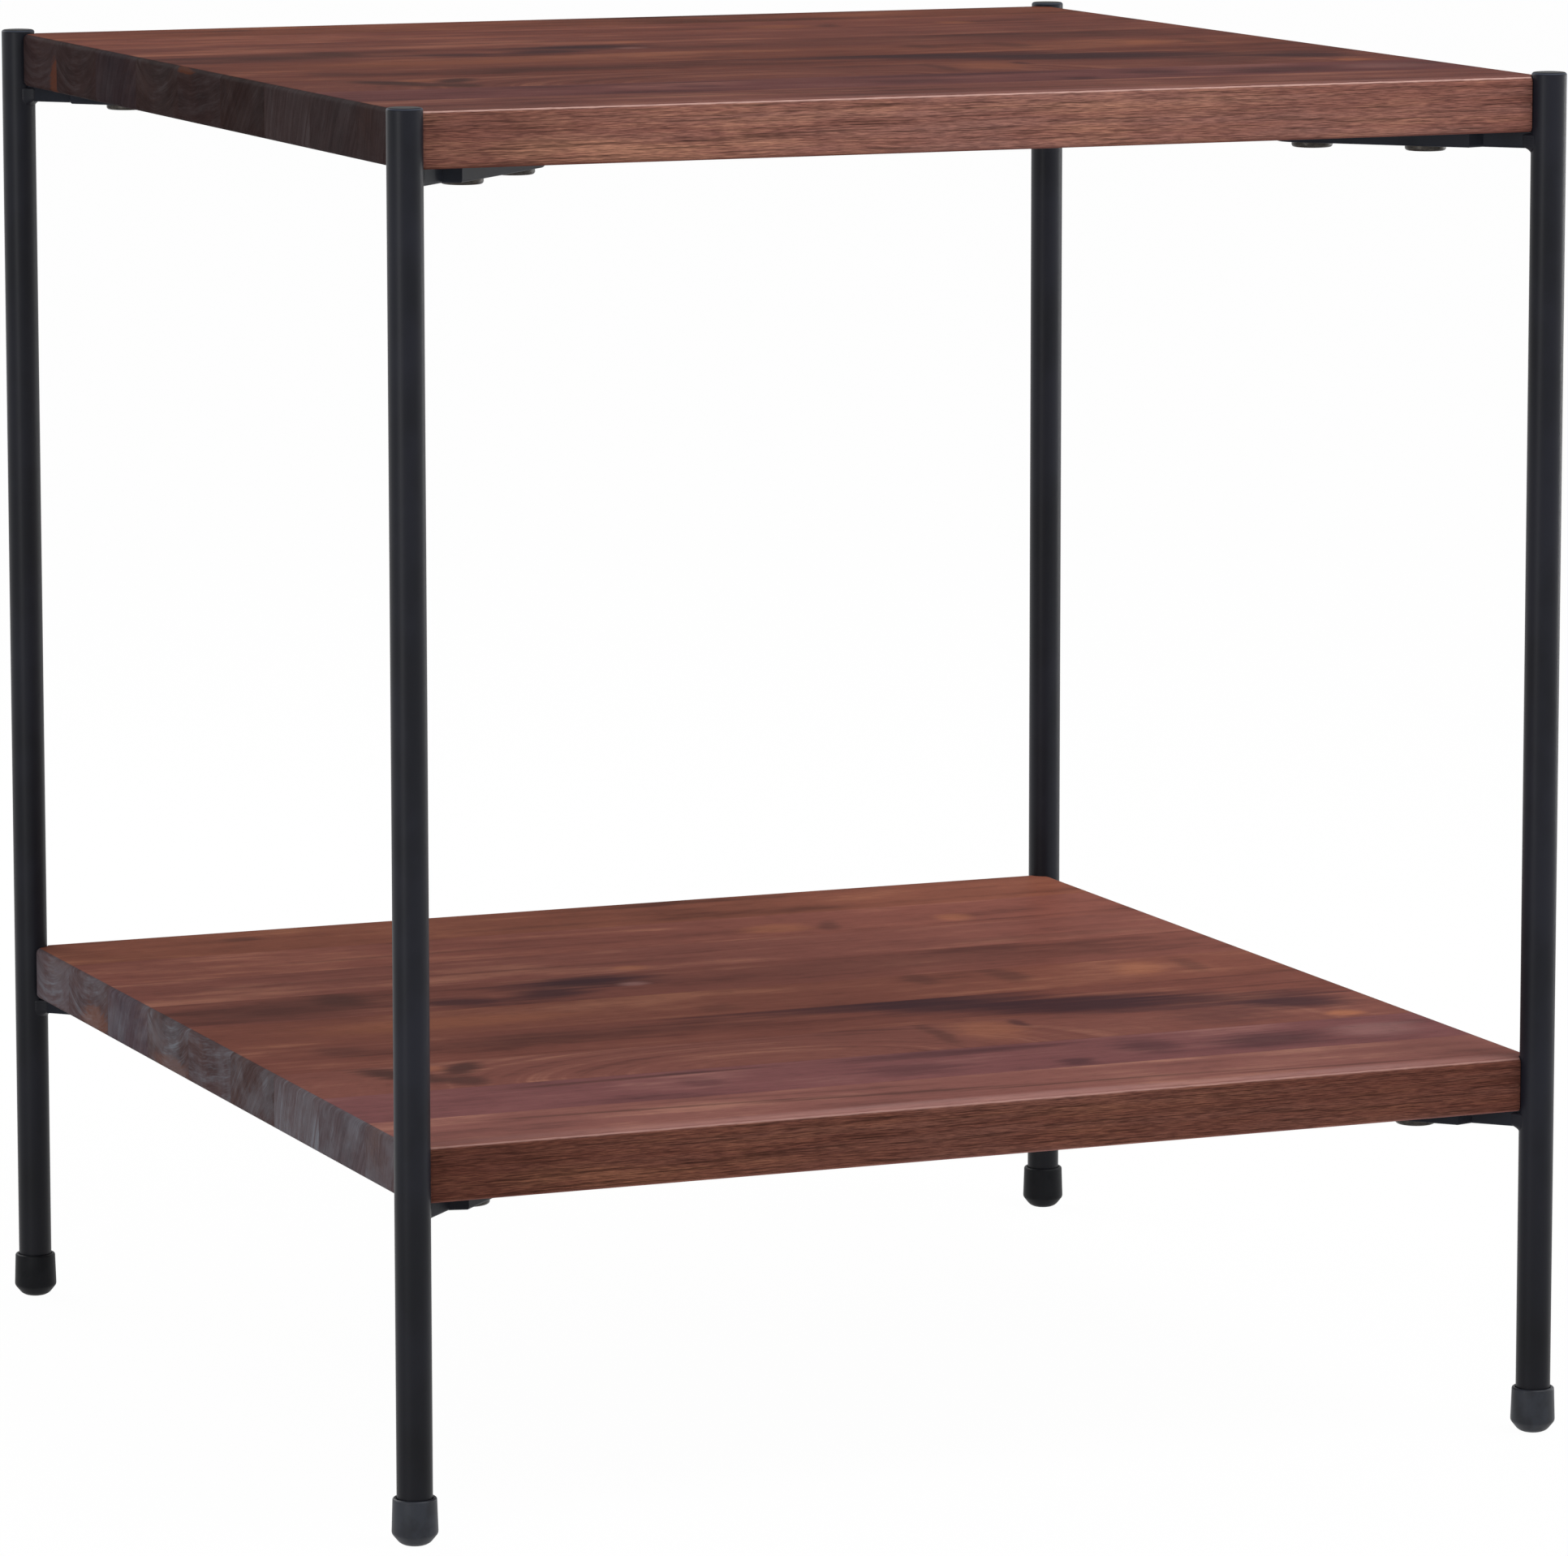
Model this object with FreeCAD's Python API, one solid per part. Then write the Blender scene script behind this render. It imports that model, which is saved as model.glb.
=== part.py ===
import FreeCAD, Part
import os
from math import atan2, cos, degrees, pi, radians, sin

# Two-tier open nightstand: two glued-up wooden boards carried by four round steel legs.
# The boards' corners are rounded and hollowed out to take the legs. Under each board every leg
# has a welded flat arm that runs diagonally inwards and holds the board with two bolts from below.
# Origin on the floor at the middle of the footprint, +X along the grain, +Y to the back, +Z up.
# All lengths are in millimetres.

# overall sizes
overall_height = 500.0
overall_width = 450.0
overall_depth = 450.0
shelf_top_height = 140.0

# legs and their end caps
leg_diameter = 12.7
leg_wall = 1.5
leg_above_board = 1.5
cap_thickness = 2.0
cap_edge_round = 1.0
cap_plug_length = 6.0
cap_plug_clearance = 0.1

# rubber feet
foot_height = 16.8
foot_floor = 4.0
foot_wall = 1.35
foot_flare = 0.45
foot_bevel_height = 4.2
foot_bevel_run = 3.4
foot_bottom_round = 2.0
foot_rim_round = 0.55
foot_bore_clearance = 0.05

# boards
board_thickness = 20.0
board_corner_round = 8.0
board_edge_round = 2.0
stave_count = 9
leg_hollow_clearance = 0.3

# bracket arms, with lengths along the arm measured from the leg's centre line
arm_thickness = 6.0
arm_width = 18.0
neck_width = 6.4
neck_end = 23.5
flare_length = 3.5
first_bolt = 46.4
bolt_spacing = 43.3
arm_tip_margin = 13.6
arm_edge_round = 1.0

# weld beads at the root of each arm
weld_gap = 0.05
weld_throat = 1.8
weld_run = 2.6
weld_lip = 0.1

# bolts
bolt_diameter = 6.0
bolt_length = 18.0
bolt_tip_chamfer = 0.6
bolt_hole_clearance = 0.3
head_diameter = 15.0
head_thickness = 2.0
head_edge_round = 1.0
socket_across_flats = 4.0
socket_depth = 3.0

# threaded inserts in the boards
insert_diameter = 10.0
insert_length = 13.0
insert_flange = 1.0
insert_rib_height = 0.6
insert_rib_pitch = 2.6
insert_thread_clearance = 0.05
insert_hole_clearance = 0.05
insert_hole_extra = 0.5

# one overrun for every cut
overrun = 1.0

# places and sizes that follow from the values above
hair = leg_wall / 100
leg_radius = leg_diameter / 2
leg_bore = leg_radius - leg_wall
leg_x = overall_width / 2 - leg_radius
leg_y = overall_depth / 2 - leg_radius
leg_top = overall_height - cap_thickness
board_width = 2 * leg_x
board_depth = 2 * leg_y
stave_width = board_depth / stave_count
board_tops = {"top": overall_height - leg_above_board, "shelf": shelf_top_height}
bolt_places = [first_bolt, first_bolt + bolt_spacing]
arm_tip = bolt_places[-1] + arm_tip_margin
corners = {
    "front_left": (-1, -1),
    "front_right": (1, -1),
    "rear_left": (-1, 1),
    "rear_right": (1, 1),
}


def point(x, y, z=0):
    return FreeCAD.Vector(x, y, z)


def upright(radius, bottom, top):
    # a solid cylinder about the Z axis between two heights
    return Part.makeCylinder(radius, top - bottom, point(0, 0, bottom))


def turned(outline):
    # a solid of revolution about the Z axis from (radius, height) points
    wire = Part.makePolygon([point(r, 0, z) for r, z in outline + outline[:1]])
    return Part.Face(wire).revolve(point(0, 0), point(0, 0, 1), 360)


def lies_flat(edge):
    return edge.BoundBox.ZLength < hair


def rims_at(shape, height):
    # the edges that lie flat at one height
    return [e for e in shape.Edges if lies_flat(e) and abs(e.BoundBox.ZMin - height) < hair]


def widest(edges):
    return max(edges, key=lambda e: e.BoundBox.XLength)


def at_corner(shape, corner):
    # moves a shape that is built about a leg's centre line to that leg
    sx, sy = corners[corner]
    moved = shape.copy()
    moved.translate(point(sx * leg_x, sy * leg_y))
    return moved


def aimed(shape, corner):
    # turns a shape built along +X so that it runs diagonally inwards from its leg
    sx, sy = corners[corner]
    moved = shape.copy()
    moved.rotate(point(0, 0), point(0, 0, 1), degrees(atan2(-sy, -sx)))
    return at_corner(moved, corner)


def bolted(shape, corner, place, height):
    # sets a shape built about the Z axis on one bolt's axis
    spot = shape.copy()
    spot.translate(point(place, 0, height))
    return aimed(spot, corner)


def leg_tube():
    outside = upright(leg_radius, foot_floor, leg_top)
    return outside.cut(upright(leg_bore, foot_floor - overrun, leg_top + overrun))


def leg_cap():
    # a plug with a full-width disc on top, its upper edge rounded over
    disc = upright(leg_radius, leg_top, overall_height)
    disc = disc.makeFillet(cap_edge_round, [widest(rims_at(disc, overall_height))])
    plug = upright(leg_bore - cap_plug_clearance, leg_top - cap_plug_length, leg_top)
    return disc.fuse(plug).removeSplitter()


def rubber_foot():
    # a cup that widens slightly to the floor, with a bevelled and rounded base and a soft rim
    bore = leg_radius + foot_bore_clearance
    rim = bore + foot_wall
    waist = rim + foot_flare
    outside = turned([
        (0, 0),
        (waist - foot_bevel_run, 0),
        (waist, foot_bevel_height),
        (rim, foot_height),
        (0, foot_height),
    ])
    outside = outside.makeFillet(foot_bottom_round, [widest(rims_at(outside, 0))])
    cup = outside.cut(upright(bore, foot_floor, foot_height + overrun))
    return cup.makeFillet(foot_rim_round, rims_at(cup, foot_height))


def arm_face():
    # narrow neck at the leg, a short flare, then a wide strap with a round tip
    neck = neck_width / 2
    half = arm_width / 2
    right = [
        point(0, -neck),
        point(neck_end, -neck),
        point(neck_end + flare_length, -half),
        point(arm_tip - half, -half),
    ]
    left = [point(p.x, -p.y) for p in reversed(right)]
    edges = [Part.LineSegment(a, b).toShape() for a, b in zip(right, right[1:])]
    edges.append(Part.Arc(right[-1], point(arm_tip, 0), left[0]).toShape())
    edges += [Part.LineSegment(a, b).toShape() for a, b in zip(left, left[1:])]
    edges.append(Part.LineSegment(left[-1], right[0]).toShape())
    return Part.Face(Part.Wire(edges))


def bracket_arm(top):
    # one arm whose upper face is at the given height, along +X from the leg
    bottom = top - arm_thickness
    arm = arm_face().extrude(point(0, 0, arm_thickness))
    lower_rim = [e for e in arm.Edges
                 if e.BoundBox.ZMax < arm_thickness / 2 and e.BoundBox.XMax > neck_width / 2]
    arm = arm.makeFillet(arm_edge_round, lower_rim)
    arm.translate(point(0, 0, bottom))
    arm = arm.cut(upright(leg_radius + weld_gap, bottom - overrun, top + overrun))
    for place in bolt_places:
        hole = upright(bolt_diameter / 2 + bolt_hole_clearance, bottom - overrun, top + overrun)
        hole.translate(point(place, 0))
        arm = arm.cut(hole)
    return arm


def weld_bead(top):
    # a sloped bead on both sides and the underside of the neck, against the leg
    bottom = top - arm_thickness
    end = leg_radius + weld_run
    slope = (weld_throat - weld_lip) / weld_run

    def section(x):
        spread = weld_lip + slope * (end - x)
        y = neck_width / 2 + spread
        low = bottom - spread
        ring = [point(x, -y, low), point(x, y, low), point(x, y, top), point(x, -y, top)]
        return Part.makePolygon(ring + ring[:1])

    bead = Part.makeLoft([section(leg_radius - weld_run), section(end)], True, True)
    bead = bead.cut(upright(leg_radius + weld_gap, bottom - arm_thickness, top + overrun))
    return bead.cut(bracket_arm(top))


def hexagon(across_flats, bottom, top):
    reach = across_flats / 2 / cos(radians(30))
    ring = [point(reach * cos(k * pi / 3), reach * sin(k * pi / 3), bottom) for k in range(6)]
    return Part.Face(Part.makePolygon(ring + ring[:1])).extrude(point(0, 0, top - bottom))


def bolt():
    # a flat-headed furniture bolt: head below height zero, shank above it
    head_radius = head_diameter / 2
    shank_radius = bolt_diameter / 2
    body = turned([
        (0, -head_thickness),
        (head_radius, -head_thickness),
        (head_radius, 0),
        (shank_radius, 0),
        (shank_radius, bolt_length - bolt_tip_chamfer),
        (shank_radius - bolt_tip_chamfer, bolt_length),
        (0, bolt_length),
    ])
    body = body.makeFillet(head_edge_round, [widest(rims_at(body, -head_thickness))])
    socket = hexagon(socket_across_flats, -head_thickness - overrun, socket_depth - head_thickness)
    return body.cut(socket)


def threaded_insert():
    # a ribbed sleeve with a flange at its mouth, the mouth at height zero
    outer = insert_diameter / 2
    bore = bolt_diameter / 2 + insert_thread_clearance
    core = outer - insert_rib_height
    ribs = int((insert_length - insert_flange) / insert_rib_pitch)
    outline = [(bore, 0), (outer, 0), (outer, insert_flange), (core, insert_flange)]
    for k in range(ribs):
        base = insert_flange + k * insert_rib_pitch
        outline.append((core, base + insert_rib_pitch / 2))
        outline.append((outer, base + insert_rib_pitch * 3 / 4))
        outline.append((core, base + insert_rib_pitch))
    outline += [(core, insert_length), (bore, insert_length)]
    return turned(outline)


def whole_board(board_top):
    bottom = board_top - board_thickness
    body = Part.makeBox(board_width, board_depth, board_thickness,
                        point(-board_width / 2, -board_depth / 2, bottom))
    body = body.makeFillet(board_corner_round, [e for e in body.Edges if not lies_flat(e)])
    body = body.makeFillet(board_edge_round, [e for e in body.Edges if lies_flat(e)])
    hollow = upright(leg_radius + leg_hollow_clearance, bottom - overrun, board_top + overrun)
    hole = upright(insert_diameter / 2 + insert_hole_clearance, -overrun, insert_length + insert_hole_extra)
    for corner in corners:
        body = body.cut(at_corner(hollow, corner))
        for place in bolt_places:
            body = body.cut(bolted(hole, corner, place, bottom))
    return body


def staves(board_top):
    # the board as its glued strips, from the front edge to the back
    body = whole_board(board_top)
    strips = []
    for k in range(stave_count):
        start = point(-board_width / 2 - overrun, k * stave_width - board_depth / 2,
                      board_top - board_thickness - overrun)
        strip = Part.makeBox(board_width + 2 * overrun, stave_width, board_thickness + 2 * overrun, start)
        strips.append(body.common(strip))
    return strips


def write(name, pieces):
    # one file for each node, holding one solid or a group of separate solids
    solids = [solid for piece in pieces for solid in piece.Solids]
    shape = solids[0] if len(solids) == 1 else Part.Compound(solids)
    shape.exportStep(os.path.join("parts", name + ".step"))
    print(name, len(solids), "solid(s)", round(shape.Volume), "cubic mm")


os.makedirs("parts", exist_ok=True)

for tier, board_top in board_tops.items():
    under_board = board_top - board_thickness
    under_arm = under_board - arm_thickness
    spots = [(corner, place) for corner in corners for place in bolt_places]
    for number, strip in enumerate(staves(board_top), start=1):
        write(tier + "_stave_" + str(number), [strip])
    for corner in corners:
        write(corner + "_" + tier + "_bracket", [aimed(bracket_arm(under_board), corner)])
    write(tier + "_bolts", [bolted(bolt(), corner, place, under_arm) for corner, place in spots])
    write(tier + "_inserts", [bolted(threaded_insert(), corner, place, under_board) for corner, place in spots])

for corner in corners:
    write(corner + "_leg", [at_corner(leg_tube(), corner)])
    write(corner + "_leg_cap", [at_corner(leg_cap(), corner)])
    write(corner + "_foot", [at_corner(rubber_foot(), corner)])
    beads = [weld_bead(board_top - board_thickness) for board_top in board_tops.values()]
    write(corner + "_welds", [aimed(bead, corner) for bead in beads])
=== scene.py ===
import math
import bmesh
import bpy
from mathutils import Matrix, Vector


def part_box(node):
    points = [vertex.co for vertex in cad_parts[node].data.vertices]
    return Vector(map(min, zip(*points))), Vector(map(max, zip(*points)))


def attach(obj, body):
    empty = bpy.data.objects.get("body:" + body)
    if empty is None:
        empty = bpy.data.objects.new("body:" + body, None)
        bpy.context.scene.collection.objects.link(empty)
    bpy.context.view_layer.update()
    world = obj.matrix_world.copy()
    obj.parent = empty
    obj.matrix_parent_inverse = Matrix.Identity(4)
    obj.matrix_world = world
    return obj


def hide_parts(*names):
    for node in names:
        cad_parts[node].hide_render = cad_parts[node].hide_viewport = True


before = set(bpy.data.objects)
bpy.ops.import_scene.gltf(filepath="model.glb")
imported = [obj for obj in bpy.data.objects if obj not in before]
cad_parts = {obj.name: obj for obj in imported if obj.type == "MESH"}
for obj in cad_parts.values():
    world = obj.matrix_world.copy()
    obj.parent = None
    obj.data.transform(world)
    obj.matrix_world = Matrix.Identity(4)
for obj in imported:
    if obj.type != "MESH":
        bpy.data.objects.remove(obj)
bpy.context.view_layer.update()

# Two-tier open nightstand: walnut boards on slim black steel legs with rubber feet.
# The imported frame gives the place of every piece. All lengths are in metres.

mm = 0.001
corners = ["front_left", "front_right", "rear_left", "rear_right"]
tiers = ["top", "shelf"]
print("frame loaded,", len(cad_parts), "nodes")


# shader helpers

white = (1.0, 1.0, 1.0, 1.0)


def colour(red, green, blue):
    # a screen colour, 0 to 255, as the linear colour that shaders take
    linear = []
    for level in (red, green, blue):
        share = level / 255
        linear.append(share / 12.92 if share <= 0.04045 else ((share + 0.055) / 1.055) ** 2.4)
    return (*linear, 1.0)


def grey(level):
    return (level, level, level, 1.0)


def newMaterial(name):
    made = bpy.data.materials.new(name)
    made.use_nodes = True
    return made, made.node_tree, made.node_tree.nodes["Principled BSDF"]


def addNode(tree, kind, inputs=None, **properties):
    # inputs are sockets to link or values to set, by the socket's name or number
    made = tree.nodes.new("ShaderNode" + kind)
    for key, value in properties.items():
        setattr(made, key, value)
    for key, value in (inputs or {}).items():
        if isinstance(value, bpy.types.NodeSocket):
            tree.links.new(value, made.inputs[key])
        else:
            made.inputs[key].default_value = value
    return made


def mixColour(tree, factor, first, second, blend="MIX"):
    inputs = {0: factor, 6: first, 7: second}
    return addNode(tree, "Mix", inputs, data_type="RGBA", blend_type=blend).outputs[2]


def tinted(tree, base, tint):
    return mixColour(tree, 1.0, base, tint, "MULTIPLY")


def doMath(tree, operation, first, second=0.0):
    return addNode(tree, "Math", {0: first, 1: second}, operation=operation).outputs[0]


def add(tree, first, second):
    return doMath(tree, "ADD", first, second)


def multiply(tree, first, second):
    return doMath(tree, "MULTIPLY", first, second)


def magnitude(tree, value):
    return doMath(tree, "ABSOLUTE", value)


def centred(tree, value):
    # a noise value moved from round 0.5 to round 0
    return doMath(tree, "SUBTRACT", value, 0.5)


def vectorMath(tree, operation, first, second=(0, 0, 0)):
    return addNode(tree, "VectorMath", {0: first, 1: second}, operation=operation).outputs[0]


def separated(tree, vector):
    return addNode(tree, "SeparateXYZ", {0: vector}).outputs


def fade(tree, value, stretch, toLow=0.0, toHigh=1.0):
    # a soft step from toLow to toHigh while the value runs over the stretch
    inputs = {0: value, 1: stretch[0], 2: stretch[1], 3: toLow, 4: toHigh}
    return addNode(tree, "MapRange", inputs, interpolation_type="SMOOTHSTEP").outputs[0]


def plainNoise(tree, vector, detail, roughness, output=0):
    inputs = {"Vector": vector, "Scale": 1.0, "Detail": detail, "Roughness": roughness}
    return addNode(tree, "TexNoise", inputs).outputs[output]


def noise(tree, vector, texture, output=0):
    # texture is the cells a metre along x, y and z, the detail and the roughness
    cells, detail, roughness = texture
    placed = addNode(tree, "Mapping", {"Vector": vector, "Scale": cells})
    return plainNoise(tree, placed.outputs[0], detail, roughness, output)


def distance(tree, place, centre, scale):
    # the distance from a centre, stretched by a scale for each axis
    location = [-c * s for c, s in zip(centre, scale)]
    moved = addNode(tree, "Mapping", {"Vector": place, "Location": location, "Scale": scale})
    return addNode(tree, "VectorMath", {0: moved.outputs[0]}, operation="LENGTH").outputs["Value"]


def objectPlace(tree, shift=(0, 0, 0)):
    place = addNode(tree, "TexCoord").outputs["Object"]
    return addNode(tree, "Mapping", {"Vector": place, "Location": shift}).outputs[0]


def objectNormal(tree):
    return separated(tree, addNode(tree, "TexCoord").outputs["Normal"])


def addRoughness(tree, shader, level, texture, change):
    # change is how far below the level the roughness starts, and how much the texture adds to it
    below, share = change
    gloss = add(tree, level - below, multiply(tree, texture, share))
    tree.links.new(gloss, shader.inputs["Roughness"])


def addBump(tree, shader, height, bump):
    strength, depth = bump
    made = addNode(tree, "Bump", {"Height": height, "Strength": strength, "Distance": depth})
    tree.links.new(made.outputs[0], shader.inputs["Normal"])


def setMaterial(piece, material):
    piece.data.materials.clear()
    piece.data.materials.append(material)


# walnut boards: nine glued staves each, number 1 at the front

boardLook = {
    "light": colour(158, 106, 84),
    "middle": colour(122, 74, 62),
    "dark": colour(84, 50, 43),
    "pore": colour(50, 31, 26),
    # the pale outer edge colour: a painted highlight, partly rubbed wear
    "highlightAndWearColour": colour(198, 160, 150),
    "endPale": colour(127, 125, 132),
    "fleckDark": (0.66, 0.61, 0.61, 1),
    "fleckLight": (1.32, 1.26, 1.16, 1),
    "roughness": 0.5,
    "roughnessChange": (0.05, 0.12),
    "specular": 0.002,
    "bump": (0.15, 0.2 * mm),
    # how far the grain wanders along x, y and z, and how far the marks do
    "grainSway": (0.02, 0.005, 0.005),
    "markSway": (0.01, 0.003, 0),
    # each stave's step through the noises
    "noiseStep": (0.83, 0.29, 0.41),
    # growth rings on the long faces
    "bandsPerMetre": 300,
    "bandsAlong": 4.0,
    "bandStep": 3.7,
    "bandDetail": (3.0, 0.55),
    # shares of the tone, and how much a stave's shift moves it
    "patchShare": 0.60,
    "streakShare": 0.12,
    "fibreShare": 0.20,
    "shiftShare": 0.2,
    # a figure of rings is weaker beyond its reach and close to its pith
    "reachFade": (1.15, 0.85),
    "reachOutside": 0.35,
    "pithFade": (8 * mm, 26 * mm),
    "pithInside": 0.25,
    "frayShare": 0.9,
    "poreStrength": 0.5,
    "dashStrength": 0.6,
    # the flecks' strength on the upper face, and what the long edges add
    "fleckFace": 0.15,
    "fleckEdge": 0.75,
    # end grain: fine lines and wider arcs along the rings
    "endLinesPerMetre": 1700,
    "endLineBreaks": 150.0,
    "endLineDetail": (2.0, 0.5),
    "endLineTones": (0.70, 1.22),
    "endArcsPerMetre": 430,
    "endArcBreaks": 30.0,
    "endArcStep": 5.3,
    "endArcDetail": (2.0, 0.6),
    "endArcTones": (0.83, 1.14),
    "endFaceShare": 0.25,
    "endPaleLeast": 0.3,
    # glue line between staves
    "jointWidth": 0.4 * mm,
    "jointStrength": 0.25,
    # how far the flecks fray the pale outer edges, a painted highlight that is partly rubbed wear
    "highlightAndWearFray": 0.25,
}
boardNoise = {
    # cells a metre along x, y and z, detail, roughness
    "sway": ((7, 30, 30), 2.0, 0.5),
    "patches": ((13, 34, 34), 3.0, 0.6),
    "streaks": ((11, 260, 260), 2.0, 0.5),
    "fibres": ((60, 1900, 1900), 3.0, 0.7),
    "pores": ((100, 3400, 3400), 2.0, 0.6),
    "flecks": ((180, 5400, 5400), 2.0, 0.6),
    "dashes": ((30, 1800, 1800), 3.0, 0.6),
    "endCloud": ((60, 60, 60), 2.0, 0.5),
    "blotch": ((40, 46, 58), 4.0, 0.65),
}
boardFades = {
    # the stretch of a noise, a distance or a normal over which each effect comes in
    "darkTone": (0.0, 0.5),
    "lightTone": (0.5, 1.0),
    "mark": (1.3, 0.3),
    "pores": (0.54, 0.68),
    "longEdge": (0.55, 0.95),
    "flecks": (0.40, 0.60),
    "dashes": (0.50, 0.66),
    "endLines": (0.46, 0.68),
    "endLineCloud": (0.38, 0.60),
    "endArcTone": (0.36, 0.60),
    "endArcs": (0.54, 0.64),
    "endArcCloud": (0.42, 0.58),
    "blotch": (0.40, 0.66),
    "endMark": (1.2, 0.6),
    "endFace": (0.12, 0.36),
    "highlightAndWear": (0.28, 0.40),
}
# face, front and end tint the upper face, the long edges and the end grain, and hold painted light and
# shade: the shelf's upper face is painted lighter and its long edges darker, the top's end grain is painted
# darker as shade and the shelf's end grain gets a painted bluish sheen; spread is the tones' range
# pale, arcs and blotch are the strengths of the end grain's pale lines, arcs and patches
# the pale outer edges are a painted highlight, partly rubbed wear, and the entry before endMarks sets their
# strength; endMarks are stains on the end grain, by stave number:
# (y on the board, height from the upper face, half width, half height, stain, strength), in mm
tierLooks = {
    "top": {
        "face": (0.655, 0.66, 0.69, 1),
        "front": (1.145, 1.39, 1.48, 1),
        "end": (0.31, 0.275, 0.255, 1),
        "spread": 0.2,
        "pale": 0.10,
        "arcs": 0.14,
        "blotch": 0.10,
        "highlightAndWear": 0.85,
        "endMarks": {9: (172, -16, 6, 9, "amber", 0.5), 5: (16, -0.8, 11, 1.3, "amber", 0.5)},
    },
    "shelf": {
        "face": (1.19, 1.39, 1.55, 1),
        "front": (0.645, 0.69, 0.68, 1),
        "end": (0.74, 0.81, 0.82, 1),
        "spread": 0.27,
        "pale": 0.18,
        "arcs": 0.26,
        "blotch": 0.26,
        "highlightAndWear": 0.4,
        "endMarks": {8: (137, -16, 17, 6, "amber", 0.28), 6: (46, -17, 22, 4, "amber", 0.18)},
    },
}
# stain colours; rose and umber also paint a sheen and a shade on stave 1's front edge
stainsAndPaintedLight = {
    "plum": colour(54, 32, 34),
    "umber": colour(70, 42, 36),
    "amber": colour(156, 94, 64),
    "rose": colour(160, 114, 104),
}
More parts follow.
